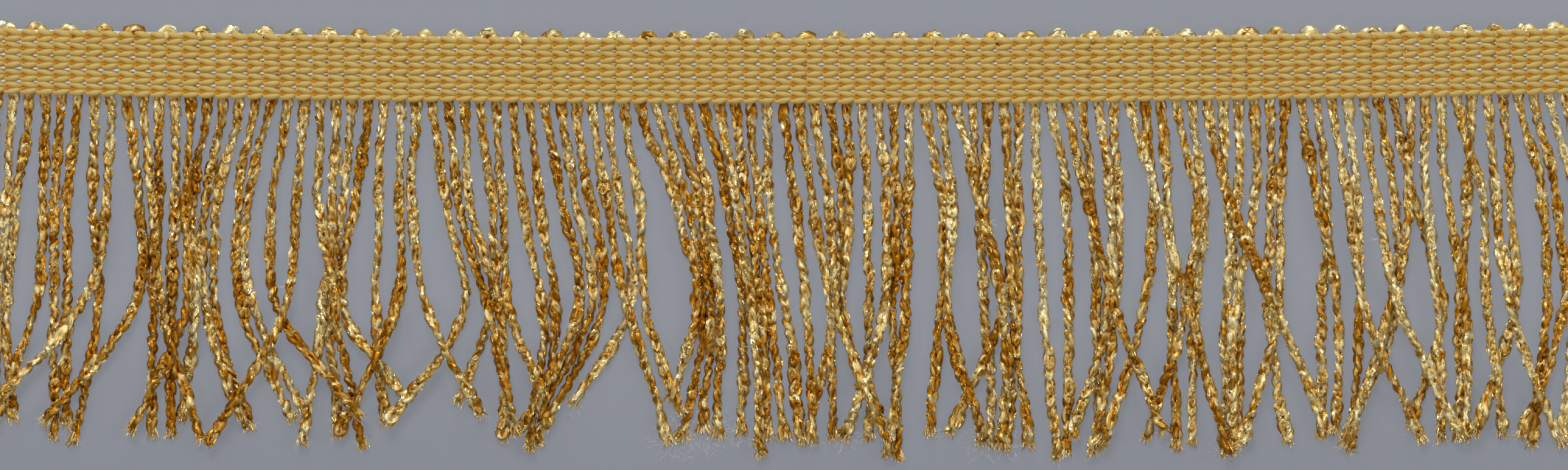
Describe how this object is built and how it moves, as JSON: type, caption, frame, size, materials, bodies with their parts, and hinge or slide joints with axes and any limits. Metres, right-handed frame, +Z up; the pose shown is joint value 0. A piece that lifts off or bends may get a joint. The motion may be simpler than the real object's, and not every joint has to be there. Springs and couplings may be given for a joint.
{
  "type": "length of chainette fringe",
  "caption": "Straight cut length of metallic chainette fringe lying flat: a narrow knitted heading with scalloped top edge, and loose hanging strands cut along the bottom.",
  "frame": {"origin": "middle of the length's bounds, on the surface it lies on", "axes": "+X along the heading, +Y from the strands' cut ends towards the heading's scalloped edge, +Z up through the thickness, out of the face that shows"},
  "size_m": [0.1946, 0.0514, 0.0039],
  "materials": {
    "heading": "matt mustard polyester yarn in chain stitches",
    "fringe": "glittering gold metallised chainette cord"
  },
  "bodies": {
    "root": {"heading": "heading", "fringe": "fringe"}
  },
  "joints": []
}
